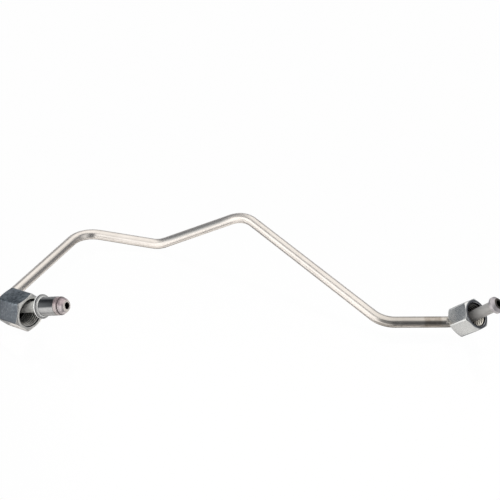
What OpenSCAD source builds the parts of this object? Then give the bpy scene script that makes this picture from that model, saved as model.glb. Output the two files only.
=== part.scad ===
// Bent tube assembly: a bent steel pressure line with a loose union nut at each end.
// The tube is drawn from its bend table: straight run, turn about the run, bend, and so on.
// Millimetres. X is the long way of the line, Z is up, and the line lies on Z = 0.

/* [Tube] */
// outside diameter of the tube
tube_od = 6.35; // [5.6:0.05:7]
// bore of the tube
tube_bore = 3; // [2:0.1:3.6]
// radius of every bend, to the middle of the tube
bend_radius = 16; // [15:0.5:18]

/* [Straight runs] */
// inlet tip to the first bend
inlet_run = 35.5; // [32:0.5:44]
// first to second bend
run_1 = 66; // [50:0.5:90]
// second to third bend
run_2 = 34; // [24:0.5:50]
// third to fourth bend
run_3 = 45; // [34:0.5:60]
// fourth to fifth bend
run_4 = 100.5; // [80:0.5:125]
// fifth to sixth bend
run_5 = 29; // [20:0.5:45]
// sixth bend to the outlet tip
outlet_run = 20; // [18:0.5:28]

/* [Bend angles] */
// first bend, behind the inlet nut
bend_1 = 87.5; // [80:0.5:95]
// second bend
bend_2 = 74.5; // [66:0.5:82]
// third bend, the one that lies on the table
bend_3 = 29; // [22:0.5:36]
// fourth bend, the high one
bend_4 = 57; // [50:0.5:64]
// fifth bend
bend_5 = 50; // [42:0.5:58]
// sixth bend, behind the outlet nut
bend_6 = 58.5; // [52:0.5:64]

/* [Turns between the bends] */
// turn about the run before the second bend
turn_2 = 24.5; // [18:0.5:31]
// turn about the run before the third bend
turn_3 = -106; // [-112:0.5:-100]
// turn about the run before the fourth bend
turn_4 = 136; // [130:0.5:142]
// turn about the run before the fifth bend
turn_5 = 152.5; // [147:0.5:158]
// turn about the run before the sixth bend
turn_6 = 107.5; // [102:0.5:113]

/* [How the line lies] */
// inlet tip along X
inlet_x = -97.5; // [-110:0.5:-84]
// inlet tip along Y
inlet_y = -52.5; // [-66:0.5:-40]
// inlet tip above the table
inlet_z = 23.9; // [20:0.1:32]
// heading of the inlet run seen from above, from X towards Y
inlet_heading = 156.5; // [146:0.5:166]
// how far the inlet run dips towards the table
inlet_dip = 19.5; // [12:0.5:26]
// turn of the first bend about the inlet run
inlet_turn = -91; // [-100:0.5:-82]

/* [Inlet head] */
// rim of the sealing cone at the tip
inlet_tip_d = 5.8; // [5.2:0.1:6.4]
// wide end of the sealing cone
inlet_cone_d = 9.4; // [8.8:0.1:9.6]
// length of the sealing cone
inlet_cone_len = 3.1; // [2.4:0.1:3.6]
// how far the domed cone stands over a straight one
inlet_cone_crown = 0.3; // [0:0.05:0.45]
// formed collar behind the cone
inlet_collar_d = 10.2; // [9.8:0.1:10.6]
// length of the whole head
inlet_head_len = 6; // [5.6:0.1:8]

/* [Outlet head] */
// rim of the flat end face
outlet_face_d = 6.2; // [5.4:0.1:7]
// formed ring of the head
outlet_ring_d = 9.5; // [9.2:0.1:10.2]
// length of the ring
outlet_ring_len = 1.8; // [1:0.1:2.6]
// length of the cone in front of the ring
outlet_cone_len = 1.6; // [1:0.1:2.4]

/* [Thrust sleeve] */
// plain body of the sleeve
sleeve_d = 10.4; // [9.8:0.1:11.4]
// collar that the inlet nut pushes on
sleeve_collar_d = 13.4; // [12.6:0.1:13.8]
// thickness of that collar
sleeve_collar_len = 1.4; // [1:0.1:2.2]
// length of the whole sleeve
sleeve_len = 12; // [9:0.5:14]
// space between sleeve and tube, each side
sleeve_play = 0.05; // [0.03:0.01:0.1]

/* [Inlet union nut] */
// across flats
inlet_nut_af = 19; // [19:0.5:22]
// length
inlet_nut_len = 17.5; // [16:0.5:20]
// thread size
inlet_thread_d = 16; // [15.5:0.5:16]
// how far the nut is pushed past the start of the first bend
inlet_nut_past = 4; // [3:0.5:5]
// lean of the nut with the bend
inlet_nut_lean = 11; // [8:1:16]
// droop of the nut towards the table
inlet_nut_droop = 10; // [6:1:12]
// turn of the flats
inlet_nut_spin = 4; // [0:1:60]

/* [Outlet union nut] */
// across flats
outlet_nut_af = 17; // [17:0.5:20]
// length
outlet_nut_len = 14; // [12.5:0.5:16]
// thread size
outlet_thread_d = 14; // [13.5:0.5:14]
// how far the nut is pushed past the start of the last bend
outlet_nut_past = 6.75; // [5:0.25:7]
// lean of the nut with the bend
outlet_nut_lean = 0.5; // [0:0.5:8]
// sway of the nut out of the plane of that bend
outlet_nut_sway = 3.5; // [0:0.5:4]
// turn of the flats
outlet_nut_spin = 30; // [0:1:60]

/* [Both union nuts] */
// thread pitch
thread_pitch = 1.5; // [1:0.25:1.5]
// space around the tube in the hole of the nut, each side
nut_hole_play = 1.2; // [1.2:0.05:1.4]
// length of the hole that the tube runs through
nut_land_len = 1.6; // [1:0.1:1.8]
// depth of the wide entry behind that hole
nut_entry_len = 1.8; // [1.4:0.1:2.4]
// slope of the chamfers on the hexagon
nut_chamfer = 30; // [25:1:35]

/* [Hidden] */
$fn = 96;

tube_r = tube_od / 2;
bore_r = tube_bore / 2;
runs = [inlet_run, run_1, run_2, run_3, run_4, run_5, outlet_run];
bends = [bend_1, bend_2, bend_3, bend_4, bend_5, bend_6];
turns = [inlet_turn, turn_2, turn_3, turn_4, turn_5, turn_6];

// how much the tube draws down in a bend, each side
bend_draw = 0.02;
// how far a straight run reaches into the bends at its ends
run_lap = 0.1;
// how far inside the heads the plain tube starts
head_lap = 1;

// heads
bore_flare = 0.4;
mouth_lap = 0.01;
groove_slope = 0.1;
groove_len = 0.4;
shoulder_len = 0.2;
groove_start = inlet_cone_len + shoulder_len;
groove_end = groove_start + groove_len;
ring_edge = 0.2;
ring_start = outlet_cone_len;
ring_end = ring_start + outlet_ring_len;
ring_back = 0.8;

// sleeve
sleeve_edge = 0.3;
sleeve_root = 0.4;
sleeve_front = inlet_head_len;
sleeve_rear = sleeve_front + sleeve_len;
collar_front = sleeve_rear - sleeve_collar_len;

// nuts
nut_hole_r = tube_r + nut_hole_play;
nut_land_mid = nut_entry_len + nut_land_len / 2;
nut_shoulder = nut_entry_len + nut_land_len;
nut_relief_len = 1.6;
nut_relief_play = 0.2;
nut_mouth_play = 0.3;
cut_over = 1;
minor_ratio = 1.0825;
corner_ratio = 0.565;
face_ratio = 0.475;
inlet_nut_back = inlet_run + inlet_nut_past;
outlet_nut_back = outlet_run + outlet_nut_past;

// how far a bend has left the straight line at a distance past its start
function bend_offset(past) = bend_radius - sqrt(bend_radius * bend_radius - past * past);

// Puts its children at the inlet tip, with Z along the tube into the line.
module at_inlet() {
    translate([inlet_x, inlet_y, inlet_z])
        rotate([0, 90 + inlet_dip, inlet_heading])
            children();
}

// Puts its children at the start of a run, with Z along the run.
module at_run(i) {
    if (i == 0) {
        at_inlet() children();
    } else {
        at_run(i - 1)
            translate([0, 0, runs[i - 1]])
                rotate([0, 0, turns[i - 1]])
                    translate([bend_radius * (1 - cos(bends[i - 1])), 0, bend_radius * sin(bends[i - 1])])
                        rotate([0, bends[i - 1], 0])
                            children();
    }
}

// Puts its children at the outlet tip, with Z out of the line.
module at_outlet() {
    at_run(len(runs) - 1)
        translate([0, 0, outlet_run])
            children();
}

// One bend of round bar, from the origin along Z towards X.
module bend_bar(angle, r) {
    translate([bend_radius, 0, 0])
        rotate([90, 0, 180])
            rotate_extrude(angle = angle)
                translate([bend_radius, 0])
                    circle(r = r);
}

// The whole line as round bar, drawn down in the bends, with the gaps left free at the two tips.
module line_bar(r, inlet_gap, outlet_gap) {
    last = len(runs) - 1;
    for (i = [0 : last]) {
        low = i == 0 ? inlet_gap : -run_lap;
        high = i == last ? runs[i] - outlet_gap : runs[i] + run_lap;
        at_run(i)
            translate([0, 0, low])
                cylinder(h = high - low, r = r);
        if (i < last) {
            at_run(i)
                translate([0, 0, runs[i]])
                    rotate([0, 0, turns[i]])
                        bend_bar(bends[i], r - bend_draw);
        }
    }
}

// Formed head of the inlet end: domed sealing cone, groove line and collar, drawn from the tip inwards.
module inlet_head() {
    tip_r = inlet_tip_d / 2;
    cone_r = inlet_cone_d / 2;
    collar_r = inlet_collar_d / 2;
    crown = 4 * inlet_cone_crown;
    rotate_extrude()
        polygon([
            [0, 0],
            for (t = [0 : 0.125 : 1]) [tip_r + (cone_r - tip_r) * t + crown * t * (1 - t), inlet_cone_len * t],
            [collar_r - groove_slope, groove_start],
            [cone_r, groove_start + groove_slope],
            [cone_r, groove_end - groove_slope],
            [collar_r, groove_end],
            [collar_r, inlet_head_len],
            [0, inlet_head_len]
        ]);
}

// Formed head of the outlet end: flat face, cone, ring and a slope down to the tube.
module outlet_head() {
    ring_r = outlet_ring_d / 2;
    rotate_extrude()
        polygon([
            [0, 0],
            [outlet_face_d / 2, 0],
            [ring_r - ring_edge, ring_start],
            [ring_r, ring_start + ring_edge],
            [ring_r, ring_end - ring_edge],
            [ring_r - ring_edge, ring_end],
            [tube_r - ring_edge, ring_end + ring_back],
            [0, ring_end + ring_back]
        ]);
}

// Flared mouth of the bore.
module bore_mouth() {
    translate([0, 0, -mouth_lap])
        cylinder(h = bore_flare + mouth_lap, r1 = bore_r + bore_flare + mouth_lap, r2 = bore_r);
}

module pressure_tube() {
    color([0.80, 0.78, 0.75])
        difference() {
            union() {
                line_bar(tube_r, head_lap, head_lap);
                at_inlet() inlet_head();
                at_outlet() rotate([180, 0, 0]) outlet_head();
            }
            line_bar(bore_r, -head_lap, -head_lap);
            at_inlet() bore_mouth();
            at_outlet() rotate([180, 0, 0]) bore_mouth();
        }
}

module thrust_sleeve() {
    inner_r = tube_r + sleeve_play;
    body_r = sleeve_d / 2;
    collar_r = sleeve_collar_d / 2;
    color([0.74, 0.78, 0.78])
        at_inlet()
            rotate_extrude()
                polygon([
                    [inner_r, sleeve_front],
                    [body_r - sleeve_edge, sleeve_front],
                    [body_r, sleeve_front + sleeve_edge],
                    [body_r, collar_front - sleeve_root],
                    [body_r + sleeve_root, collar_front],
                    [collar_r - sleeve_edge, collar_front],
                    [collar_r, collar_front + sleeve_edge],
                    [collar_r, sleeve_rear - sleeve_edge],
                    [collar_r - sleeve_edge, sleeve_rear],
                    [inner_r, sleeve_rear]
                ]);
}

// One union nut from its rear face, Z towards the mouth:
// chamfered hexagon with an entry cone, the hole for the tube, a relief and the thread bore.
module union_nut(af, length, thread_d) {
    corner_r = corner_ratio * af;
    face_r = face_ratio * af;
    slope_len = (corner_r - face_r) * tan(nut_chamfer);
    minor_r = (thread_d - minor_ratio * thread_pitch) / 2;
    relief_r = thread_d / 2 + nut_relief_play;
    mouth_r = thread_d / 2 + nut_mouth_play;
    relief_end = nut_shoulder + nut_relief_len;
    difference() {
        intersection() {
            cylinder(h = length, r = af / sqrt(3), $fn = 6);
            rotate_extrude()
                polygon([
                    [0, 0],
                    [face_r, 0],
                    [corner_r, slope_len],
                    [corner_r, length - slope_len],
                    [face_r, length],
                    [0, length]
                ]);
        }
        rotate_extrude()
            polygon([
                [0, -cut_over],
                [nut_hole_r + nut_entry_len + cut_over, -cut_over],
                [nut_hole_r, nut_entry_len],
                [nut_hole_r, nut_shoulder],
                [relief_r, nut_shoulder],
                [relief_r, relief_end],
                [minor_r, relief_end + relief_r - minor_r],
                [minor_r, length - mouth_r + minor_r],
                [mouth_r + cut_over, length + cut_over],
                [0, length + cut_over]
            ]);
    }
}

module inlet_union_nut() {
    color([0.58, 0.62, 0.66])
        at_inlet()
            rotate([0, 0, inlet_turn])
                translate([bend_offset(inlet_nut_past), 0, inlet_nut_back])
                    rotate([180 + inlet_nut_droop, inlet_nut_lean, 0])
                        rotate([0, 0, inlet_nut_spin])
                            translate([0, 0, -nut_land_mid])
                                union_nut(inlet_nut_af, inlet_nut_len, inlet_thread_d);
}

module outlet_union_nut() {
    color([0.66, 0.68, 0.70])
        at_outlet()
            translate([bend_offset(outlet_nut_past), 0, -outlet_nut_back])
                rotate([-outlet_nut_sway, -outlet_nut_lean, 0])
                    rotate([0, 0, outlet_nut_spin])
                        translate([0, 0, -nut_land_mid])
                            union_nut(outlet_nut_af, outlet_nut_len, outlet_thread_d);
}

pressure_tube();
thrust_sleeve();
inlet_union_nut();
outlet_union_nut();
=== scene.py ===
from math import atan2, ceil, cos, degrees, pi, radians, sin, sqrt, tan

import bmesh
import bpy
from mathutils import Matrix, Vector


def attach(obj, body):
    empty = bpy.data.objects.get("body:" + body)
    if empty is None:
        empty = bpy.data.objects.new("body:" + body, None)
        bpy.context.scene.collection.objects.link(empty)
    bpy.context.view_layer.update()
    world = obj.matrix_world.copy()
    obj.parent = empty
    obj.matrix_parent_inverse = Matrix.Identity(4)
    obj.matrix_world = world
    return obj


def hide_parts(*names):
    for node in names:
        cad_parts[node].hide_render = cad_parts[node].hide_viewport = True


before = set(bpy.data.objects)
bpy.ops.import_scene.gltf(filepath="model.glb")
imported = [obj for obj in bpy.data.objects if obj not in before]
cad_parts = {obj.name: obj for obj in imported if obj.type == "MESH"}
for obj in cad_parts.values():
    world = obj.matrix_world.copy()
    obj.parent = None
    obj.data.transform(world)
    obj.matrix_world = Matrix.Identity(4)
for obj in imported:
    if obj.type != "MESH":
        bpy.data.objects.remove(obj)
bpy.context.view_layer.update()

# Lengths are in millimetres and angles in degrees. Meshes, floor and lights are in metres.
MM = 0.001

# The bend table of the line, as in the part's source.
TUBE_R = 3.175
BORE_R = 1.5
BEND_R = 16.0
RUNS = [35.5, 66.0, 34.0, 45.0, 100.5, 29.0, 20.0]
BENDS = [87.5, 74.5, 29.0, 57.0, 50.0, 58.5]
TURNS = [-91.0, 24.5, -106.0, 136.0, 152.5, 107.5]
INLET_TIP = (-97.5, -52.5, 23.9)
INLET_HEADING = 156.5
INLET_DIP = 19.5

# The nuts: sizes, how far each is pushed onto its bend, and how it is tipped about Y, X and Z.
INLET_NUT = {"af": 19.0, "length": 17.5, "thread_d": 16.0}
INLET_NUT_PAST = 4.0
INLET_NUT_TIP = (11, 190, 4)
OUTLET_NUT = {"af": 17.0, "length": 14.0, "thread_d": 14.0}
OUTLET_NUT_PAST = 6.75
OUTLET_NUT_TIP = (-0.5, -3.5, 30)
NUT_LAND_MID = 2.6
NUT_HOLE_SPACE = 1.2
NUT_ENTRY = 1.8
NUT_LAND_TO = 3.4
NUT_RELIEF_TO = 5.0
NUT_RELIEF = 0.2
NUT_MOUTH = 0.3
NUT_CHAMFER = 30
NUT_CORNER_SHARE = 0.565
NUT_FACE_SHARE = 0.475
NUT_EDGE = 0.13
NUT_EDGE_ANGLE = 20
THREAD_PITCH = 1.5
THREAD_FROM = 5.4
THREAD_END_GAP = 0.9

# The sleeve on the inlet end, with heights from the inlet tip.
SLEEVE_BORE_R = 3.225
SLEEVE_R = 5.2
SLEEVE_FROM = 6.0
SLEEVE_TO = 18.0
COLLAR_R = 6.7
COLLAR_FROM = 16.6
COLLAR_FILLET = 0.6


def shift(x, y, z):
    return Matrix.Translation((x, y, z))


def turn(angle, axis):
    return Matrix.Rotation(radians(angle), 4, axis)


def run_starts():
    """The place and direction of every straight run, Z along the run."""
    here = shift(*INLET_TIP) @ turn(INLET_HEADING, "Z") @ turn(90 + INLET_DIP, "Y")
    starts = [here]
    for run, bend, about in zip(RUNS, BENDS, TURNS):
        b = radians(bend)
        arc = shift(BEND_R * (1 - cos(b)), 0, BEND_R * sin(b)) @ turn(bend, "Y")
        here = here @ shift(0, 0, run) @ turn(about, "Z") @ arc
        starts.append(here)
    return starts


STARTS = run_starts()
ARCS = [BEND_R * radians(bend) for bend in BENDS]
RUN_FROM = [sum(RUNS[:i]) + sum(ARCS[:i]) for i in range(len(RUNS))]
RUN_TO = [start + run for start, run in zip(RUN_FROM, RUNS)]
TUBE_LENGTH = RUN_TO[-1]
AT_INLET = STARTS[0]
AT_OUTLET = STARTS[-1] @ shift(0, 0, RUNS[-1])


def on_bend(along, past):
    """A step along a run to a place past its end, with the sideways shift of the bend there."""
    return shift(BEND_R - sqrt(BEND_R * BEND_R - past * past), 0, along)


def tipped(about_y, about_x, about_z):
    """A nut's turn about the middle of its land."""
    return turn(about_y, "Y") @ turn(about_x, "X") @ turn(about_z, "Z") @ shift(0, 0, -NUT_LAND_MID)


AT_INLET_NUT = (
    AT_INLET @ turn(TURNS[0], "Z")
    @ on_bend(RUNS[0] + INLET_NUT_PAST, INLET_NUT_PAST) @ tipped(*INLET_NUT_TIP)
)
AT_OUTLET_NUT = (
    AT_OUTLET
    @ on_bend(-RUNS[-1] - OUTLET_NUT_PAST, OUTLET_NUT_PAST) @ tipped(*OUTLET_NUT_TIP)
)


# Materials

class Shader:
    """A material that starts as plain metal, and short ways to make its nodes."""

    def __init__(self, name, colour):
        self.material = bpy.data.materials.new(name)
        self.material.use_nodes = True
        self.tree = self.material.node_tree
        self.shader = self.tree.nodes["Principled BSDF"]
        self.shader.inputs["Base Color"].default_value = (*colour, 1)
        self.shader.inputs["Metallic"].default_value = 1.0
        self.shader.inputs["Roughness"].default_value = 0.3

    def node(self, kind, **values):
        made = self.tree.nodes.new(kind)
        for key, value in values.items():
            setattr(made, key, value)
        return made

    def link(self, out, into):
        self.tree.links.new(out, into)

    def put(self, socket, value):
        """Sets a socket to a number, a colour or another node's output."""
        if isinstance(value, bpy.types.NodeSocket):
            self.link(value, socket)
        else:
            socket.default_value = value

    def mapped(self, vector, scale=(1, 1, 1), rotation=(0, 0, 0)):
        mapping = self.node("ShaderNodeMapping")
        mapping.inputs["Scale"].default_value = scale
        mapping.inputs["Rotation"].default_value = rotation
        self.link(vector, mapping.inputs["Vector"])
        return mapping.outputs["Vector"]

    def place(self, scale=(1, 1, 1), rotation=(0, 0, 0)):
        """Object coordinates, turned and scaled."""
        return self.mapped(self.node("ShaderNodeTexCoord").outputs["Object"], scale, rotation)

    def stored(self, name, output="Vector"):
        """An attribute that the mesh carries."""
        return self.node("ShaderNodeAttribute", attribute_name=name).outputs[output]

    def millimetres(self, name):
        """A length that the mesh carries, in millimetres."""
        return self.math("MULTIPLY", self.stored(name, "Fac"), 1 / MM)

    def parts(self, vector):
        """The X, Y and Z of a vector."""
        made = self.node("ShaderNodeSeparateXYZ")
        self.link(vector, made.inputs["Vector"])
        return [made.outputs[axis] for axis in "XYZ"]

    def vector(self, *parts):
        made = self.node("ShaderNodeCombineXYZ")
        for socket, value in zip(made.inputs, parts):
            self.link(value, socket)
        return made.outputs["Vector"]

    def noise(self, vector, scale, detail=3.0, roughness=0.55, distortion=0.0):
        made = self.node("ShaderNodeTexNoise")
        made.inputs["Scale"].default_value = scale
        made.inputs["Detail"].default_value = detail
        made.inputs["Roughness"].default_value = roughness
        made.inputs["Distortion"].default_value = distortion
        self.link(vector, made.inputs["Vector"])
        return made.outputs["Fac"]

    def ramp(self, value, *stops):
        """A colour ramp: stops are (position, grey or colour)."""
        made = self.node("ShaderNodeValToRGB")
        ends = made.color_ramp.elements
        while len(ends) < len(stops):
            ends.new(0.5)
        for end, (position, colour) in zip(ends, stops):
            end.position = position
            end.color = (colour, colour, colour, 1) if isinstance(colour, (int, float)) else (*colour, 1)
        self.link(value, made.inputs["Fac"])
        return made.outputs["Color"]

    def math(self, operation, a, b=0.0):
        made = self.node("ShaderNodeMath", operation=operation)
        self.put(made.inputs[0], a)
        self.put(made.inputs[1], b)
        return made.outputs["Value"]

    def times(self, first, *others):
        for other in others:
            first = self.math("MULTIPLY", first, other)
        return first

    def total(self, first, *others):
        for other in others:
            first = self.math("ADD", first, other)
        return first

    def without(self, mask):
        """1 where a mask is 0, and the other way round."""
        return self.math("SUBTRACT", 1.0, mask)

    def across(self, x, y):
        """The length of a flat vector."""
        return self.math("SQRT", self.total(self.times(x, x), self.times(y, y)))

    def between(self, value, low, high, out_low=0.0, out_high=1.0):
        """A number moved from one range to another, clamped."""
        made = self.node("ShaderNodeMapRange", clamp=True)
        names = ("Value", "From Min", "From Max", "To Min", "To Max")
        for name, number in zip(names, (value, low, high, out_low, out_high)):
            self.put(made.inputs[name], number)
        return made.outputs["Result"]

    def smooth(self, value, low, high, out_low=0.0, out_high=1.0):
        """The same with soft ends."""
        made = self.between(value, low, high, out_low, out_high)
        made.node.interpolation_type = "SMOOTHSTEP"
        return made

    def stretch(self, value, begins, full, ends, gone):
        """1 on a stretch of a length, with soft ends."""
        return self.times(self.smooth(value, begins, full), self.smooth(value, ends, gone, 1, 0))

    def facing(self, way=(0, 0, 1)):
        """How far the surface faces a way, by itself upwards: 1 for straight to it, -1 for straight away."""
        made = self.node("ShaderNodeVectorMath", operation="DOT_PRODUCT")
        self.link(self.node("ShaderNodeTexCoord").outputs["Normal"], made.inputs[0])
        made.inputs[1].default_value = way
        return made.outputs["Value"]

    def mix(self, share, a, b, blend="MIX"):
        made = self.node("ShaderNodeMix", data_type="RGBA", blend_type=blend)
        self.put(made.inputs["Factor"], share)
        for key, colour in (("A_Color", a), ("B_Color", b)):
            socket = next(s for s in made.inputs if s.identifier == key)
            self.put(socket, colour if isinstance(colour, bpy.types.NodeSocket) else (*colour, 1))
        return next(s for s in made.outputs if s.identifier == "Result_Color")

    def darkened(self, share, tone, by):
        """A tone times a colour, where a mask is 1."""
        return self.mix(share, tone, by, blend="MULTIPLY")

    def bump(self, height, strength, distance, after=None):
        made = self.node("ShaderNodeBump")
        made.inputs["Strength"].default_value = strength
        made.inputs["Distance"].default_value = distance
        self.link(height, made.inputs["Height"])
        if after is not None:
            self.link(after, made.inputs["Normal"])
        return made.outputs["Normal"]

    def give(self, **sockets):
        """Sets the shader's sockets by name and gives back the material."""
        for name, value in sockets.items():
            self.put(self.shader.inputs[name.replace("_", " ").title()], value)
        return self.material


def around_run(i, begins, full, ends, gone):
    """A stretch by its distances from the start of a run (two) and from its end (two)."""
    return RUN_FROM[i] + begins, RUN_FROM[i] + full, RUN_TO[i] + ends, RUN_TO[i] + gone


# Stretches of the tube from the inlet tip: where a finish begins, is full, begins to end and is gone.
# A pair goes on towards the outlet.
IN_INLET_NUT = (SLEEVE_TO - 1.0, SLEEVE_TO + 0.5, RUN_TO[0] + 0.5, RUN_TO[0] + 8.5)
FIRST_LONG_RUN = around_run(1, 2, 10, -8, 4)
THIRD_LONG_RUN = around_run(3, -5, 7, -8, 4)
LONGEST_RUN = around_run(4, -10, 2, -5, 2)
LAST_RUN = around_run(5, -12, 8, 6, 12)
LAST_BEND = (RUN_TO[4] + 0.8, RUN_TO[4] + 7.8, RUN_FROM[5] - 3.8, RUN_FROM[5] + 2.8)
SMUDGE = around_run(5, 15.3, 17.3, -4.2, -1.7)
LAST_RUN_SHADE_FROM = (RUN_TO[4] - 8, RUN_FROM[5])
NECK_FROM = (RUN_FROM[6] - 13.5, RUN_FROM[6] - 5.5)
ROUGH_NECK_FROM = (RUN_FROM[6] - 9.5, RUN_FROM[6] + 0.5)
INLET_HEAD_LENGTH = 6.0
OUTLET_HEAD_LENGTH = 4.5

# Sides of the runs and the sleeve that carry painted shade and painted reflection, as the way that the
# surface faces there.
THIRD_RUN_TOP = (-0.09, -0.67, 0.73)
FIRST_RUN_RIGHT = (0.866, -0.445, 0.22)
LAST_RUN_FRONT = (0.148, -0.924, 0.354)
LAST_RUN_LOW_FRONT = (0.174, -0.983, -0.062)
LAST_BEND_FRONT = (-0.15, -0.882, 0.446)
SLEEVE_SHADED_SIDE = (-0.493, -0.503, 0.711)

# Steel and zinc tones, some of them painted shade and painted reflection. A pair gives the two tones of a
# cloudy finish.
BRIGHT_STEEL = ((0.86, 0.825, 0.79), (0.79, 0.755, 0.72))
LAST_RUN_SHADE_STEEL = ((0.60, 0.575, 0.54), (0.54, 0.515, 0.485))
DRAW_LINES = (0.66, 0.64, 0.62)
TOP_SHADE_GREY = (0.44, 0.445, 0.44)
LOW_FRONT_REFLECTION_TONE = (0.80, 0.735, 0.665)
WORN_AND_SHADED_STEEL = (0.42, 0.39, 0.36)
MATT_STEEL = (0.66, 0.675, 0.66)
NECK_STEEL = (0.47, 0.47, 0.465)
BORE_SHADE_TONE = (0.02, 0.018, 0.018)
THREAD_SHADE_TONE = (0.016, 0.017, 0.02)
SLEEVE_BODY = ((0.41, 0.42, 0.43), (0.45, 0.46, 0.465))
SLEEVE_LINES = (0.34, 0.355, 0.365)

# Tones along the heads, the collar and the sleeve's painted shade, from the tip: share of the length, tone.
# The heads' bands are turned rings with painted highlight and painted shade among them, and the collar's
# white is its painted highlight.
INLET_HEAD_TONES = [
    (0.0, (0.92, 0.87, 0.83)), (0.03, (0.92, 0.87, 0.83)), (0.08, (0.60, 0.555, 0.57)),
    (0.24, (0.60, 0.555, 0.57)), (0.36, (0.42, 0.385, 0.40)), (0.45, (0.44, 0.405, 0.42)),
    (0.48, (0.60, 0.57, 0.57)), (0.505, (0.12, 0.10, 0.11)), (0.56, (0.12, 0.10, 0.11)),
    (0.585, (0.76, 0.71, 0.71)), (0.64, (0.26, 0.23, 0.235)), (0.68, (0.56, 0.51, 0.515)),
    (0.80, (0.52, 0.475, 0.48)), (0.825, (0.24, 0.20, 0.195)), (0.85, (0.52, 0.475, 0.475)),
    (0.96, (0.50, 0.45, 0.445)), (1.0, (0.20, 0.17, 0.165)),
]
OUTLET_HEAD_TONES = [
    (0.0, (0.13, 0.12, 0.115)), (0.02, (0.16, 0.14, 0.135)), (0.05, (0.50, 0.48, 0.51)),
    (0.34, (0.52, 0.50, 0.53)), (0.40, (0.68, 0.66, 0.68)), (0.52, (0.54, 0.52, 0.55)),
    (0.75, (0.52, 0.50, 0.52)),
]
COLLAR_TONES = [
    (0.05, (0.58, 0.61, 0.60)), (0.10, (0.97, 0.99, 0.99)), (0.28, (0.97, 0.99, 0.99)),
    (0.33, (0.03, 0.033, 0.045)), (0.53, (0.03, 0.033, 0.045)), (0.58, (0.94, 0.96, 0.97)),
    (1.0, (0.88, 0.91, 0.91)),
]
SLEEVE_SHADE_TONES = [(0.0, (0.125, 0.13, 0.14)), (1.0, (0.22, 0.23, 0.24))]

# The share of metal shine that a matt finish loses.
MATT_LOSS = 0.85

# The circle that each skin of the tube is swept from. Its size tells the bore from the outside.
SKIN_CIRCLES = {"outside": 1.0, "bore": 0.4}


def shaded_sides(s, tone, along):
    """The top of the third long run is painted greyer and the right side of the first painted darker, as
    painted shade.
    """
    # Painted shade on the third run's top and on the first run's right side.
    grey = s.times(s.stretch(along, *THIRD_LONG_RUN), s.smooth(s.facing(THIRD_RUN_TOP), 0.83, 0.99))
    tone = s.mix(grey, tone, TOP_SHADE_GREY)
    painted_right_shade = s.times(s.stretch(along, *FIRST_LONG_RUN), s.smooth(s.facing(FIRST_RUN_RIGHT), 0.86, 0.95))
    return s.darkened(painted_right_shade, tone, (0.69, 0.69, 0.70))


def last_bend_stripe(s, tone, along):
    """The painted dark reflection band of the last run begins in the bend before it, and the bend's low side
    gets painted shade.
    """
    bend = s.stretch(along, *LAST_BEND)
    dark_reflection_stripe = s.times(bend, s.smooth(s.facing(LAST_BEND_FRONT), 0.93, 0.985))
    tone = s.darkened(dark_reflection_stripe, tone, (0.26, 0.265, 0.27))
    # Painted shade on the low side of the bend.
    low = s.times(bend, s.smooth(s.facing(), -0.1, 0.3, 1, 0))
    return s.darkened(low, tone, (0.62, 0.61, 0.60))


def last_run_wear_and_shade(s, tone, along, clouds):
    """The last run: painted shade over it, a painted dark reflection band along its front, a lighter, warmer
    painted reflection on its low front side, scuff marks on its low side that are partly wear and partly
    painted shade, and a smudge. Gives the scuff mask too.
    """
    # Painted shade: the last run is darker from near the end of the longest run on.
    tone = s.mix(s.smooth(along, *LAST_RUN_SHADE_FROM), tone, s.mix(clouds, *LAST_RUN_SHADE_STEEL))
    run = s.stretch(along, *LAST_RUN)
    # A painted dark reflection band along the front of the last run.
    dark_reflection_stripe = s.times(run, s.smooth(s.facing(LAST_RUN_FRONT), 0.968, 0.996))
    tone = s.darkened(dark_reflection_stripe, tone, (0.60, 0.61, 0.63))
    tone = last_bend_stripe(s, tone, along)
    # A lighter, warmer painted reflection on the low front side of the last run.
    low_front_reflection = s.times(run, s.smooth(s.facing(LAST_RUN_LOW_FRONT), 0.955, 0.99))
    tone = s.mix(low_front_reflection, tone, LOW_FRONT_REFLECTION_TONE)
    patches = s.noise(s.place(), 330.0, detail=4, roughness=0.65)
    # Scuff marks on the low side only: partly wear and partly painted shade.
    low = s.smooth(s.facing(), -0.15, 0.25, 1, 0)
    scuffs_and_low_shade = s.times(low, run, s.ramp(patches, (0.56, 0), (0.66, 1)))
    tone = s.mix(scuffs_and_low_shade, tone, WORN_AND_SHADED_STEEL)
    smudge = s.times(s.stretch(along, *SMUDGE), s.ramp(patches, (0.30, 0.4), (0.60, 1)))
    return s.darkened(smudge, tone, (0.66, 0.62, 0.58)), scuffs_and_low_shade


def head_tones(s, tone, along, on_head, from_outlet):
    """The turned rings of the two formed heads, with painted highlight and painted shade bands among them,
    and painted shade on the inlet nose's upper side.
    """
    # The ramps hold turned rings with painted highlight and painted shade bands among them.
    rings = s.ramp(s.math("DIVIDE", along, INLET_HEAD_LENGTH), *INLET_HEAD_TONES)
    tone = s.mix(on_head, tone, rings)
    # Painted shade on the upper side of the inlet nose.
    nose_top_shade = s.times(on_head, s.smooth(s.facing(), 0.35, 0.75))
    tone = s.darkened(nose_top_shade, tone, (0.80, 0.73, 0.75))
    on_outlet = s.smooth(from_outlet, OUTLET_HEAD_LENGTH - 0.2, OUTLET_HEAD_LENGTH + 0.2, 1, 0)
    rings = s.ramp(s.math("DIVIDE", from_outlet, OUTLET_HEAD_LENGTH), *OUTLET_HEAD_TONES)
    return s.mix(on_outlet, tone, rings)


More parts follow.
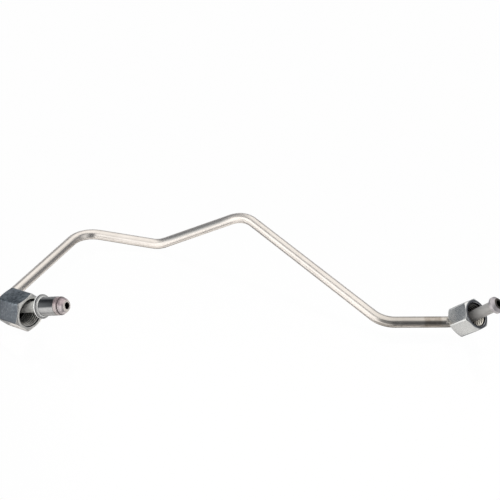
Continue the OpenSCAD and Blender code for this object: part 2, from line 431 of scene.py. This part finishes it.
def tube_steel():
    """Bright plated tube with draw lines along it, painted shade on its underside and on some sides, a last
    run with wear, painted shade and painted reflection, heads with turned rings and painted bands, and matt
    ends.
    """
    s = Shader("plated_tube_steel", (0.80, 0.77, 0.73))
    along = s.millimetres("along")
    from_outlet = s.math("SUBTRACT", TUBE_LENGTH, along)
    on_head = s.smooth(along, INLET_HEAD_LENGTH - 0.1, INLET_HEAD_LENGTH + 0.2, 1, 0)
    ring_x, ring_y, _ = s.parts(s.stored("ring"))
    lines = s.noise(s.mapped(s.vector(ring_x, ring_y, along), (9, 9, 0.014)), 1.0, detail=4)
    clouds = s.ramp(s.noise(s.place(), 120.0, detail=3), (0.35, 0), (0.7, 1))

    tone = s.mix(clouds, *BRIGHT_STEEL)
    tone = s.mix(s.ramp(lines, (0.45, 0), (0.65, 0.2)), tone, DRAW_LINES)
    tone = shaded_sides(s, tone, along)
    tone, scuffs_and_low_shade = last_run_wear_and_shade(s, tone, along, clouds)
    # Painted shade on the underside, except on the longest run.
    under_shade = s.times(s.smooth(s.facing(), -0.75, -0.4, 1, 0), s.without(s.stretch(along, *LONGEST_RUN)))
    tone = s.darkened(under_shade, tone, (0.58, 0.57, 0.56))
    tone = head_tones(s, tone, along, on_head, from_outlet)
    in_nut = s.stretch(along, *IN_INLET_NUT)
    tone = s.mix(in_nut, tone, MATT_STEEL)
    off_ring = s.smooth(from_outlet, OUTLET_HEAD_LENGTH - 0.5, OUTLET_HEAD_LENGTH + 0.5)
    neck = s.times(s.smooth(along, *NECK_FROM), off_ring)
    tone = s.mix(neck, tone, NECK_STEEL)
    # Painted shade: the bore is painted near black.
    bore_edge = SKIN_CIRCLES["bore"]
    bore = s.smooth(s.across(ring_x, ring_y), bore_edge + 0.01, bore_edge + 0.05, 1, 0)
    tone = s.mix(bore, tone, BORE_SHADE_TONE)

    end_face = s.smooth(along, 0.1, 0.4, 1, 0)
    matt = s.total(in_nut, s.times(neck, 0.8), s.times(on_head, 0.55), s.times(end_face, 0.4))
    matt = s.times(matt, s.without(bore))
    rough = s.total(s.between(lines, 0.3, 0.7, 0.28, 0.33), s.times(scuffs_and_low_shade, 0.12))
    rough = s.total(rough, s.times(s.smooth(along, *ROUGH_NECK_FROM), 0.14), s.times(on_head, -0.07))
    normal = s.bump(lines, 0.04, 0.0002)
    metal = s.without(s.times(matt, MATT_LOSS))
    return s.give(base_color=tone, roughness=rough, normal=normal, metallic=metal)


def thread_tone(s, size, at, height, out, crest, lit_share_above):
    """Light crests on the lower side of the bore, and dark ones on the upper side and deep inside: painted
    light and painted shade.
    """
    thread_r = size["thread_d"] / 2
    top = (at.to_3x3().inverted() @ Vector((0, 0, 1))).xy.normalized()
    own_x, own_y, _ = s.parts(s.stored("own"))
    upper = s.total(s.times(own_x, top.x), s.times(own_y, top.y))
    # The upper side of the bore keeps only a share of the light, as painted shade.
    lit_below = s.smooth(s.times(upper, 1 / (MM * thread_r)), -0.25, 0.35, 1, lit_share_above)
    lit = s.times(s.smooth(out, thread_r - 0.62, thread_r - 0.38, 1, 0), lit_below)
    # Painted shade deeper inside the nut.
    lit = s.times(lit, s.smooth(height, size["length"] - 8.0, size["length"] - 4.0, 0.3, 1))
    return s.mix(lit, THREAD_SHADE_TONE, crest)


def nut_zinc(name, at, size, light, dark, lit_top_tone, low_side_painted, chamfer, face, crest, lit_share_above, mottle, rough):
    """Zinc plated nut: cloudy patches, speckles, fine scratches, painted light on its upper faces, a painted
    tone on its lower faces, a painted highlight on its chamfers, a turned face with a painted reflection,
    and a thread with painted light and shade.
    """
    s = Shader(name, light)
    length = size["length"]
    thread_r = size["thread_d"] / 2
    height = s.millimetres("height")
    out = s.millimetres("out")
    patches = s.noise(s.place(), 260.0, detail=4, roughness=0.6, distortion=0.4)
    speckle = s.noise(s.place(), 820.0, detail=3, roughness=0.6)
    scratch = s.noise(s.place((300, 2600, 700), rotation=(0.4, 0.2, 0.7)), 1.0, detail=2)
    cloudy = s.ramp(patches, (0.36, 0), (0.66, mottle))

    # Painted light on the faces turned upwards.
    tone = s.mix(s.smooth(s.facing(), 0.35, 0.6), light, lit_top_tone)
    tone = s.mix(cloudy, tone, dark)
    tone = s.mix(s.ramp(speckle, (0.42, mottle), (0.52, 0)), tone, dark)
    tone = s.mix(s.ramp(speckle, (0.56, 0), (0.68, mottle)), tone, tuple(min(0.9, 1.5 * c) for c in light))
    # A painted tone on the faces turned downwards: a painted reflection of the floor on the inlet nut,
    # painted shade on the outlet nut.
    painted_low_tone = s.mix(cloudy, low_side_painted, tuple(0.8 * c for c in low_side_painted))
    tone = s.mix(s.smooth(s.facing(), -0.4, -0.2, 1, 0), tone, painted_low_tone)
    # A painted highlight on the chamfers, and a painted reflection on the turned face: light on the inlet
    # nut, dark on the outlet nut.
    tone = s.mix(s.smooth(s.facing(at.to_3x3() @ Vector((0, 0, 1))), 0.3, 0.6), tone, chamfer)
    tone = s.mix(s.smooth(height, length - 0.3, length - 0.1), tone, face)
    inside = s.times(
        s.smooth(out, thread_r + 0.05, thread_r + 0.15, 1, 0),
        s.stretch(height, NUT_ENTRY + 0.1, NUT_ENTRY + 0.3, length - 0.5, length - 0.3))
    tone = s.mix(inside, tone, thread_tone(s, size, at, height, out, crest, lit_share_above))

    roughness = s.between(patches, 0.3, 0.7, rough + 0.04, rough - 0.04)
    normal = s.bump(speckle, 0.10 * mottle, 0.0001)
    normal = s.bump(scratch, 0.06, 0.00006, after=normal)
    return s.give(base_color=tone, roughness=roughness, normal=normal)


def sleeve_zinc():
    """Grey plated sleeve with turning lines, painted shade on its upper side and a collar painted white as
    its highlight, with a dark line.
    """
    s = Shader("sleeve_zinc", (0.70, 0.76, 0.76))
    height = s.millimetres("height")
    fillet_from = COLLAR_FROM - COLLAR_FILLET
    lines = s.noise(s.vector(height), 5.0, detail=2)
    patches = s.noise(s.place(), 420.0, detail=4)
    tone = s.mix(s.ramp(patches, (0.4, 0), (0.65, 1)), *SLEEVE_BODY)
    tone = s.mix(s.ramp(lines, (0.45, 0), (0.7, 0.3)), tone, SLEEVE_LINES)
    # Painted shade on the upper side of the sleeve.
    painted_shade_above = s.smooth(s.facing(SLEEVE_SHADED_SIDE), 0.825, 0.93)
    tone = s.darkened(painted_shade_above, tone, s.ramp(s.between(height, SLEEVE_FROM, fillet_from), *SLEEVE_SHADE_TONES))
    # The collar is painted white as its highlight.
    collar = s.smooth(height, fillet_from + 0.05, fillet_from + 0.2)
    tone = s.mix(collar, tone, s.ramp(s.between(height, fillet_from, SLEEVE_TO), *COLLAR_TONES))
    rough = s.total(s.between(patches, 0.3, 0.7, 0.33, 0.38), s.times(collar, -0.1))
    normal = s.bump(lines, 0.06, 0.0001)
    metal = s.without(s.times(collar, MATT_LOSS))
    return s.give(base_color=tone, roughness=rough, normal=normal, metallic=metal)


# Meshes

def as_piece(name, mesh, at=None, sharp=28.0):
    """An object at the origin with its place in its mesh. The mesh is in metres."""
    if at is not None:
        mesh.transform(at)
    for face in mesh.polygons:
        face.use_smooth = True
    mesh.set_sharp_from_angle(angle=radians(sharp))
    mesh.validate()
    piece = bpy.data.objects.new(name, mesh)
    bpy.context.scene.collection.objects.link(piece)
    return piece


def in_metres(at):
    """A placing in millimetres as one in metres."""
    placed = at.copy()
    placed.translation *= MM
    return placed


def keep_own_sizes(mesh):
    """Stores each point's own place, its height along the piece's axis and its distance from it."""
    points = [v.co.copy() for v in mesh.vertices]
    own = mesh.attributes.new("own", "FLOAT_VECTOR", "POINT")
    own.data.foreach_set("vector", [c for p in points for c in p])
    height = mesh.attributes.new("height", "FLOAT", "POINT")
    height.data.foreach_set("value", [p.z for p in points])
    out = mesh.attributes.new("out", "FLOAT", "POINT")
    out.data.foreach_set("value", [p.xy.length for p in points])


def closed_rows(shape, rows):
    """Faces between closed rows of points, each row to the next and the last to the first."""
    for i, row in enumerate(rows):
        after = rows[(i + 1) % len(rows)]
        for k in range(len(row)):
            n = (k + 1) % len(row)
            shape.faces.new((row[k], row[n], after[n], after[k]))
    bmesh.ops.recalc_face_normals(shape, faces=shape.faces)


def as_mesh(name, shape):
    mesh = bpy.data.meshes.new(name)
    shape.to_mesh(mesh)
    shape.free()
    return mesh


def lathe(name, profile, steps=96):
    """A closed ring turned from a profile of (radius, height) in millimetres."""
    shape = bmesh.new()
    angles = [2 * pi * k / steps for k in range(steps)]
    rows = []
    for radius, height in profile:
        points = [Vector((radius * cos(a), radius * sin(a), height)) for a in angles]
        rows.append([shape.verts.new(point * MM) for point in points])
    closed_rows(shape, rows)
    mesh = as_mesh(name, shape)
    keep_own_sizes(mesh)
    return mesh


class Tree:
    """A geometry node tree with named inputs."""

    def __init__(self, name):
        self.tree = bpy.data.node_groups.new(name, "GeometryNodeTree")
        self.tree.interface.new_socket("Geometry", in_out="INPUT", socket_type="NodeSocketGeometry")
        self.tree.interface.new_socket("Geometry", in_out="OUTPUT", socket_type="NodeSocketGeometry")
        self.source = self.tree.nodes.new("NodeGroupInput")
        self.result = self.tree.nodes.new("NodeGroupOutput")
        self.inputs = {}

    def size(self, name, kind):
        """A named input for a size."""
        socket = self.tree.interface.new_socket(name, in_out="INPUT", socket_type=kind)
        self.inputs[name] = socket.identifier
        return self.source.outputs[name]

    def node(self, kind, links=None, **values):
        made = self.tree.nodes.new("GeometryNode" + kind)
        for key, value in values.items():
            setattr(made, key, value)
        for key, value in (links or {}).items():
            if isinstance(value, bpy.types.NodeSocket):
                self.tree.links.new(value, made.inputs[key])
            else:
                made.inputs[key].default_value = value
        return made

    def stored(self, geometry, name, value):
        """The geometry with a vector attribute on its points."""
        links = {"Geometry": geometry, "Name": name}
        made = self.node("StoreNamedAttribute", links, data_type="FLOAT_VECTOR", domain="POINT")
        self.tree.links.new(value, next(s for s in made.inputs if s.name == "Value" and s.enabled))
        return made.outputs["Geometry"]

    def end(self, geometry, material):
        """Ends the tree with real geometry in its material."""
        whole = self.node("RealizeInstances", {"Geometry": geometry}).outputs["Geometry"]
        whole = self.node("SetMaterial", {"Geometry": whole, "Material": material}).outputs["Geometry"]
        self.tree.links.new(whole, self.result.inputs["Geometry"])

    def make(self, name, start, **sizes):
        """Runs the tree on a start mesh and gives back the plain mesh."""
        carrier = bpy.data.objects.new(name + "_start", start)
        bpy.context.scene.collection.objects.link(carrier)
        modifier = carrier.modifiers.new("make", "NODES")
        modifier.node_group = self.tree
        for key, value in sizes.items():
            modifier[self.inputs[key.replace("_", " ").capitalize()]] = value
        graph = bpy.context.evaluated_depsgraph_get()
        mesh = bpy.data.meshes.new_from_object(carrier.evaluated_get(graph), depsgraph=graph)
        mesh.name = name
        carrier.modifiers.remove(modifier)
        bpy.data.objects.remove(carrier)
        return mesh


# The tube

def inlet_nose(steps=10):
    """The domed nose of the inlet head as (depth, radius)."""
    depth, tip_r, flare, dome = 3.1, 2.9, 1.8, 1.2
    shares = [k / steps for k in range(1, steps + 1)]
    return [(depth * k, tip_r + flare * k + dome * k * (1 - k)) for k in shares]


# The heads as (depth from the tip, radius). The first point is the edge of the bore.
BORE_EDGE_R = 1.95
FACE_DEPTH = 0.01
INLET_HEAD = [
    (0.0, BORE_EDGE_R), (FACE_DEPTH, 2.75), (0.06, 2.87), *inlet_nose(), (3.25, 4.88), (3.31, 4.95),
    (3.36, 4.9), (3.4, 4.7), (3.6, 4.7), (3.66, 4.98), (3.72, 5.08), (3.9, 5.1), (3.98, 5.05),
    (4.06, 5.1), (5.85, 5.1), (5.97, 5.0), (5.98, TUBE_R),
]
OUTLET_HEAD = [
    (0.0, BORE_EDGE_R), (FACE_DEPTH, 2.98), (0.07, 3.14), (1.5, 4.46), (1.65, 4.6), (1.8, 4.75), (2.2, 4.75),
    (2.27, 4.66), (2.35, 4.75), (3.2, 4.75), (3.35, 4.6), (3.5, 4.4), (4.05, 3.3), (4.2, 3.2), (4.4, TUBE_R),
]
HEAD_GAP = 0.02
STRAIGHT_STEP = 6.0
BEND_STEP = 3.5


def bore_at(depth):
    """The bore's radius at a depth from a tip, with its chamfer."""
    return BORE_R + max(0.0, BORE_EDGE_R - BORE_R - depth)


def straight_rings(at, start, stop, done):
    """The rings of a straight run between two of its depths."""
    steps = max(1, ceil((stop - start) / STRAIGHT_STEP))
    depths = [start + (stop - start) * k / steps for k in range(steps + 1)]
    return [(at @ Vector((0, 0, z)), TUBE_R, BORE_R, done + z) for z in depths]


def bend_rings(at, bend, done):
    """The rings of a bend, without its ends."""
    steps = ceil(bend / BEND_STEP)
    rings = []
    for k in range(1, steps):
        a = radians(bend) * k / steps
        point = at @ Vector((BEND_R * (1 - cos(a)), 0, BEND_R * sin(a)))
        rings.append((point, TUBE_R, BORE_R, done + BEND_R * a))
    return rings


def tube_rings():
    """The rings of the tube from the inlet tip: place, outside radius, bore radius and length so far."""
    rings = [(AT_INLET @ Vector((0, 0, z)), r, bore_at(z), z) for z, r in INLET_HEAD]
    last = len(RUNS) - 1
    for i, run in enumerate(RUNS):
        start = INLET_HEAD[-1][0] + HEAD_GAP if i == 0 else 0.0
        stop = run - OUTLET_HEAD[-1][0] - HEAD_GAP if i == last else run
        rings += straight_rings(STARTS[i], start, stop, RUN_FROM[i])
        if i < last:
            rings += bend_rings(STARTS[i] @ shift(0, 0, run) @ turn(TURNS[i], "Z"), BENDS[i], RUN_TO[i])
    for z, r in reversed(OUTLET_HEAD):
        rings.append((AT_OUTLET @ Vector((0, 0, -z)), r, bore_at(z), TUBE_LENGTH - z))
    return rings


def swept_tube(material):
    """The whole tube, swept along its centre line with its own radius at every ring."""
    tree = Tree("swept_tube")
    sides = tree.size("Sides", "NodeSocketInt")
    line = tree.node("MeshToCurve", {"Mesh": tree.source.outputs["Geometry"]}).outputs["Curve"]
    skins = []
    for name, size in SKIN_CIRCLES.items():
        circle = tree.node("CurvePrimitiveCircle", {"Resolution": sides, "Radius": size}).outputs["Curve"]
        circle = tree.stored(circle, "ring", tree.node("InputPosition").outputs["Position"])
        radius = tree.node("InputNamedAttribute", {"Name": name}, data_type="FLOAT").outputs["Attribute"]
        swept = tree.node("CurveToMesh", {"Curve": line, "Profile Curve": circle, "Scale": radius})
        skins.append(swept.outputs["Mesh"])
    skins[1] = tree.node("FlipFaces", {"Mesh": skins[1]}).outputs["Mesh"]
    both = tree.node("JoinGeometry")
    for skin in reversed(skins):
        tree.tree.links.new(skin, both.inputs["Geometry"])
    closed = tree.node("MergeByDistance", {"Geometry": both.outputs["Geometry"], "Distance": 0.002 * MM})
    tree.end(closed.outputs["Geometry"], material)

    rings = tube_rings()
    path = bpy.data.meshes.new("tube_path")
    path.from_pydata([ring[0] * MM for ring in rings], [(i, i + 1) for i in range(len(rings) - 1)], [])
    for name, column in (("outside", 1), ("bore", 2), ("along", 3)):
        values = path.attributes.new(name, "FLOAT", "POINT")
        circle_r = SKIN_CIRCLES.get(name, 1.0)
        values.data.foreach_set("value", [ring[column] * MM / circle_r for ring in rings])
    return tree.make("tube", path, sides=56)


# The sleeve as (radius, height), with small edge roundings and the fillet in front of the collar.
SLEEVE = [
    (SLEEVE_BORE_R, SLEEVE_FROM), (SLEEVE_R - 0.35, SLEEVE_FROM), (SLEEVE_R - 0.1, SLEEVE_FROM + 0.08),
    (SLEEVE_R, SLEEVE_FROM + 0.3), (SLEEVE_R, COLLAR_FROM - COLLAR_FILLET),
    (SLEEVE_R + 0.07, COLLAR_FROM - 0.25), (SLEEVE_R + 0.3, COLLAR_FROM - 0.05),
    (SLEEVE_R + COLLAR_FILLET, COLLAR_FROM), (COLLAR_R - 0.25, COLLAR_FROM),
    (COLLAR_R - 0.05, COLLAR_FROM + 0.1), (COLLAR_R, COLLAR_FROM + 0.25), (COLLAR_R, SLEEVE_TO - 0.2),
    (COLLAR_R - 0.08, SLEEVE_TO - 0.05), (COLLAR_R - 0.3, SLEEVE_TO), (SLEEVE_BORE_R, SLEEVE_TO),
]


# The nuts

def hexagon(af, corner_r, flat_steps=20, corner_steps=4):
    """Angles around a hexagon with turned-off corners, and the distance from its axis at each."""
    edge = 30 - degrees(atan2(sqrt(max(0.0, corner_r ** 2 - (af / 2) ** 2)), af / 2))
    half = 30 - edge
    angles = []
    for flat in range(6):
        middle = 30 + 60 * flat
        angles += [middle - half + 2 * half * k / flat_steps for k in range(flat_steps + 1)]
        angles += [middle + half + 2 * edge * k / corner_steps for k in range(1, corner_steps)]
    return angles, [min(corner_r, af / 2 / cos(radians((a % 60) - 30))) for a in angles]


def nut_body(name, af, length, thread_d, material):
    """The chamfered hexagon with its entry, hole, relief and the wall that the thread stands on."""
    face_r = NUT_FACE_SHARE * af
    angles, across = hexagon(af, NUT_CORNER_SHARE * af)
    drop = [(r - face_r) * tan(radians(NUT_CHAMFER)) for r in across]
    hole_r = TUBE_R + NUT_HOLE_SPACE
    wall_r = thread_d / 2
    shape = bmesh.new()
    rows = []

    def ring(radii, heights):
        row = []
        for a, r, z in zip(angles, radii, heights):
            row.append(shape.verts.new(Vector((r * cos(radians(a)), r * sin(radians(a)), z)) * MM))
        rows.append(row)

    def round_ring(radius, height):
        ring([radius] * len(angles), [height] * len(angles))

    round_ring(wall_r + NUT_MOUTH, length)
    round_ring(face_r, length)
    ring(across, [length - d for d in drop])
    ring(across, drop)
    round_ring(face_r, 0)
    round_ring(hole_r + NUT_ENTRY, 0)
    round_ring(hole_r, NUT_ENTRY)
    round_ring(hole_r, NUT_LAND_TO)
    round_ring(wall_r + NUT_RELIEF, NUT_LAND_TO)
    round_ring(wall_r + NUT_RELIEF, NUT_RELIEF_TO)
    round_ring(wall_r, NUT_RELIEF_TO + NUT_RELIEF)
    round_ring(wall_r, length - NUT_MOUTH)
    closed_rows(shape, rows)
    edges = [e for e in shape.edges if e.calc_face_angle() > radians(NUT_EDGE_ANGLE)]
    bmesh.ops.bevel(
        shape, geom=edges, offset=NUT_EDGE * MM, segments=2, profile=0.5, affect="EDGES", clamp_overlap=True)
    mesh = as_mesh(name, shape)
    mesh.materials.append(material)
    return mesh


def nut_thread_tree(material):
    """One thread ridge: a flat-topped profile swept along a helix."""
    root, crest, rise, sink = 0.74 * MM, 0.12 * MM, 0.81 * MM, 0.06 * MM
    tree = Tree("nut_thread")
    radius = tree.size("Wall radius", "NodeSocketFloat")
    turns = tree.size("Turns", "NodeSocketFloat")
    height = tree.size("Thread length", "NodeSocketFloat")
    helix = tree.node("CurveSpiral", {
        "Resolution": 72, "Rotations": turns, "Start Radius": radius, "End Radius": radius, "Height": height,
    }).outputs["Curve"]
    helix = tree.node("SetCurveNormal", {"Curve": helix}, mode="Z_UP").outputs["Curve"]
    ridge = tree.node("CurvePrimitiveQuadrilateral", {
        "Point 1": (-sink, -root, 0), "Point 2": (rise, -crest, 0),
        "Point 3": (rise, crest, 0), "Point 4": (-sink, root, 0),
    }, mode="POINTS").outputs["Curve"]
    swept = tree.node("CurveToMesh", {"Curve": helix, "Profile Curve": ridge, "Fill Caps": True})
    tree.end(swept.outputs["Mesh"], material)
    return tree


def joined(name, meshes):
    """Some meshes as one, with the first one's material."""
    shape = bmesh.new()
    for mesh in meshes:
        shape.from_mesh(mesh)
    bmesh.ops.recalc_face_normals(shape, faces=shape.faces)
    whole = as_mesh(name, shape)
    keep_own_sizes(whole)
    for material in meshes[0].materials:
        whole.materials.append(material)
    return whole


def union_nut(name, at, material, af, length, thread_d):
    """A nut in its place: the body and its thread."""
    body = nut_body(name, af, length, thread_d, material)
    thread_length = length - THREAD_END_GAP - THREAD_FROM
    ridge = nut_thread_tree(material).make(
        name + "_thread", bpy.data.meshes.new("helix_start"), wall_radius=thread_d / 2 * MM,
        turns=thread_length / THREAD_PITCH, thread_length=thread_length * MM)
    ridge.transform(shift(0, 0, THREAD_FROM * MM))
    return as_piece(name, joined(name, [body, ridge]), in_metres(at), sharp=25)


# The pieces in their places

tube = as_piece("tube", swept_tube(tube_steel()))
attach(tube, "line")
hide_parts("pressure_tube")

sleeve_mesh = lathe("sleeve", SLEEVE)
sleeve_mesh.materials.append(sleeve_zinc())
sleeve = as_piece("sleeve", sleeve_mesh, in_metres(AT_INLET))
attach(sleeve, "line")
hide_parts("thrust_sleeve")

# The nuts' tones for the upper faces, lower faces, chamfers, turned face and thread crests, and the share of
# light above the bore, are painted light, shade and reflection over the zinc.
inlet_finish = nut_zinc(
    "inlet_nut_zinc", AT_INLET_NUT, INLET_NUT,
    light=(0.136, 0.153, 0.172), dark=(0.095, 0.11, 0.13), lit_top_tone=(0.36, 0.42, 0.47),
    low_side_painted=(0.86, 0.85, 0.84), chamfer=(0.86, 0.86, 0.85), face=(0.88, 0.88, 0.86),
    crest=(0.84, 0.83, 0.80), lit_share_above=0.04, mottle=0.7, rough=0.34)
inlet_nut = union_nut("inlet_nut", AT_INLET_NUT, inlet_finish, **INLET_NUT)
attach(inlet_nut, "inlet_nut")
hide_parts("inlet_union_nut")

outlet_finish = nut_zinc(
    "outlet_nut_zinc", AT_OUTLET_NUT, OUTLET_NUT,
    light=(0.68, 0.70, 0.705), dark=(0.61, 0.64, 0.65), lit_top_tone=(0.68, 0.70, 0.705),
    low_side_painted=(0.50, 0.515, 0.53), chamfer=(0.72, 0.74, 0.75), face=(0.20, 0.21, 0.235),
    crest=(0.97, 0.94, 0.86), lit_share_above=0.07, mottle=0.3, rough=0.26)
outlet_nut = union_nut("outlet_nut", AT_OUTLET_NUT, outlet_finish, **OUTLET_NUT)
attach(outlet_nut, "outlet_nut")
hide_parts("outlet_union_nut")


# Floor, light and camera

FLOOR_HALF = 20.0
FLOOR_WHITE = 0.985
FLOOR_MIRRORED = 0.05
FLOOR_GLOSS = 0.93
FLOOR_ROUGH = 0.16
FLOOR_PLAIN = (0.84, 0.83, 0.82, 1)
FLOOR_SHINE = (0.99, 0.98, 0.97, 1)
WORLD_LIGHT = 0.6
TENT_R = 2.5
TENT_DARK = (0.18, 0.19, 0.205)
KEY_AT = (-0.3, 0.5, 1.6)
CAMERA_AT = (-0.5, -494.0, 332.66)
CAMERA_DOWN = 31.342
CAMERA_ROLL = 2.421

# Soft cards of the tent: middle heading and half width (0 is the camera's side, 90 the right), low and high
# edge above the horizon, softness of the edges, all in degrees, and the light that the card gives.
CARDS = [
    (190, 45, -10, 32, 9, (0.32, 0.32, 0.33)),
    (185, 55, -20, 6, 5, (0.95, 0.95, 0.96)),
    (154, 46, 34, 64, 8, (1.20, 1.16, 1.11)),
    (118, 22, 22, 36, 7, (0.60, 0.58, 0.55)),
    (-44, 48, -20, 43, 7, (1.48, 1.44, 1.40)),
    (-18, 24, 36, 64, 8, (0.90, 0.87, 0.84)),
    (60, 18, -20, 44, 8, (0.80, 0.79, 0.77)),
    (22, 14, -20, 50, 8, (0.03, 0.033, 0.04)),
    (0, 200, 60, 100, 8, (1.20, 1.16, 1.11)),
]


def seen_rays(tree, mirrored=1.0):
    """1 for camera rays, the given share for glossy and transmission rays, else 0."""
    path = tree.nodes.new("ShaderNodeLightPath")
    value = path.outputs["Is Camera Ray"]
    for name in ("Is Glossy Ray", "Is Transmission Ray"):
        part = tree.nodes.new("ShaderNodeMath")
        part.operation = "MULTIPLY"
        tree.links.new(path.outputs[name], part.inputs[0])
        part.inputs[1].default_value = mirrored
        larger = tree.nodes.new("ShaderNodeMath")
        larger.operation = "MAXIMUM"
        tree.links.new(value, larger.inputs[0])
        tree.links.new(part.outputs["Value"], larger.inputs[1])
        value = larger.outputs["Value"]
    return value


def white_floor():
    """A pale half-gloss plate that the camera sees as almost plain white."""
    mesh = bpy.data.meshes.new("floor")
    corners = [(x * FLOOR_HALF, y * FLOOR_HALF, 0) for x, y in ((-1, -1), (1, -1), (1, 1), (-1, 1))]
    mesh.from_pydata(corners, [], [(0, 1, 2, 3)])
    floor = bpy.data.objects.new("floor", mesh)
    bpy.context.scene.collection.objects.link(floor)
    material = bpy.data.materials.new("pale_floor")
    material.use_nodes = True
    tree = material.node_tree
    tree.nodes.clear()
    out = tree.nodes.new("ShaderNodeOutputMaterial")
    plain = tree.nodes.new("ShaderNodeBsdfDiffuse")
    plain.inputs["Color"].default_value = FLOOR_PLAIN
    gloss = tree.nodes.new("ShaderNodeBsdfAnisotropic")
    gloss.inputs["Color"].default_value = FLOOR_SHINE
    gloss.inputs["Roughness"].default_value = FLOOR_ROUGH
    plate = tree.nodes.new("ShaderNodeMixShader")
    plate.inputs["Fac"].default_value = FLOOR_GLOSS
    white = tree.nodes.new("ShaderNodeEmission")
    white.inputs["Strength"].default_value = 1.0
    both = tree.nodes.new("ShaderNodeMixShader")
    share = tree.nodes.new("ShaderNodeMath")
    share.operation = "MULTIPLY"
    share.inputs[1].default_value = FLOOR_WHITE
    tree.links.new(seen_rays(tree, FLOOR_MIRRORED), share.inputs[0])
    tree.links.new(share.outputs["Value"], both.inputs["Fac"])
    tree.links.new(plain.outputs["BSDF"], plate.inputs[1])
    tree.links.new(gloss.outputs["BSDF"], plate.inputs[2])
    tree.links.new(plate.outputs["Shader"], both.inputs[1])
    tree.links.new(white.outputs["Emission"], both.inputs[2])
    tree.links.new(both.outputs["Shader"], out.inputs["Surface"])
    material.cycles.emission_sampling = "NONE"
    mesh.materials.append(material)


def studio_world():
    """A plain white world, full for the camera and mirrors and weaker as a light."""
    world = bpy.data.worlds.new("studio")
    bpy.context.scene.world = world
    world.use_nodes = True
    tree = world.node_tree
    background = tree.nodes["Background"]
    strength = tree.nodes.new("ShaderNodeMapRange")
    strength.inputs["To Min"].default_value = WORLD_LIGHT
    strength.inputs["To Max"].default_value = 1.0
    tree.links.new(seen_rays(tree), strength.inputs["Value"])
    tree.links.new(strength.outputs["Result"], background.inputs["Strength"])
    background.inputs["Color"].default_value = (1, 1, 1, 1)


def half_round(columns=48, rows=24, low=1, high=89):
    """The tent's cloth, facing inwards."""
    shape = bmesh.new()
    grid = []
    for i in range(rows + 1):
        up = radians(low + (high - low) * i / rows)
        around = [2 * pi * k / columns for k in range(columns)]
        grid.append([
            shape.verts.new(Vector((cos(up) * sin(a), -cos(up) * cos(a), sin(up))) * TENT_R) for a in around
        ])
    for i in range(rows):
        for k in range(columns):
            n = (k + 1) % columns
            shape.faces.new((grid[i][k], grid[i + 1][k], grid[i + 1][n], grid[i][n]))
    return as_mesh("tent", shape)


def tent_cloth():
    """Dark cloth with soft bright cards."""
    s = Shader("tent_cloth", (0, 0, 0))
    s.tree.nodes.remove(s.shader)
    glow = s.node("ShaderNodeEmission")
    s.link(glow.outputs["Emission"], s.tree.nodes["Material Output"].inputs["Surface"])
    x, y, z = s.parts(s.place((1 / TENT_R, 1 / TENT_R, 1 / TENT_R)))
    flat = s.across(x, y)
    rise = s.times(s.math("ARCTAN2", z, flat), 180 / pi)
    colour = s.mix(0.0, TENT_DARK, (0, 0, 0))
    for middle, half, low, high, soft, light in CARDS:
        toward = s.total(s.times(x, sin(radians(middle))), s.times(y, -cos(radians(middle))))
        toward = s.math("MINIMUM", 1.0, s.math("MAXIMUM", -1.0, s.math("DIVIDE", toward, flat)))
        away = s.times(s.math("ARCCOSINE", toward), 180 / pi)
        share = s.times(
            s.smooth(away, half - soft, half + soft, 1, 0),
            s.stretch(rise, low - soft, low + soft, high - soft, high + soft))
        colour = s.mix(share, colour, light)
    s.link(colour, glow.inputs["Color"])
    return s.material


def studio_tent():
    """A dark half round with soft bright cards, which the metal mirrors."""
    mesh = half_round()
    mesh.materials.append(tent_cloth())
    tent = bpy.data.objects.new("tent", mesh)
    bpy.context.scene.collection.objects.link(tent)
    tent.visible_camera = False
    tent.visible_shadow = False


def key_lamp():
    """A weak soft lamp from above, which the metal doesn't mirror."""
    lamp = bpy.data.lights.new("key", "AREA")
    lamp.size = 1.2
    lamp.energy = 3
    holder = bpy.data.objects.new("key", lamp)
    holder.location = KEY_AT
    holder.rotation_euler = (-holder.location).to_track_quat("-Z", "Y").to_euler()
    holder.visible_glossy = False
    bpy.context.scene.collection.objects.link(holder)


def photo_camera():
    """The camera of the photo: above the table in front, looking down and slightly rolled."""
    camera = bpy.data.cameras.new("camera")
    camera.sensor_width = 36
    camera.lens = 72
    holder = bpy.data.objects.new("camera", camera)
    holder.matrix_world = in_metres(shift(*CAMERA_AT) @ turn(90 - CAMERA_DOWN, "X") @ turn(CAMERA_ROLL, "Z"))
    bpy.context.scene.collection.objects.link(holder)
    bpy.context.scene.camera = holder


white_floor()
studio_world()
studio_tent()
key_lamp()
photo_camera()
bpy.context.scene.view_settings.view_transform = "Standard"
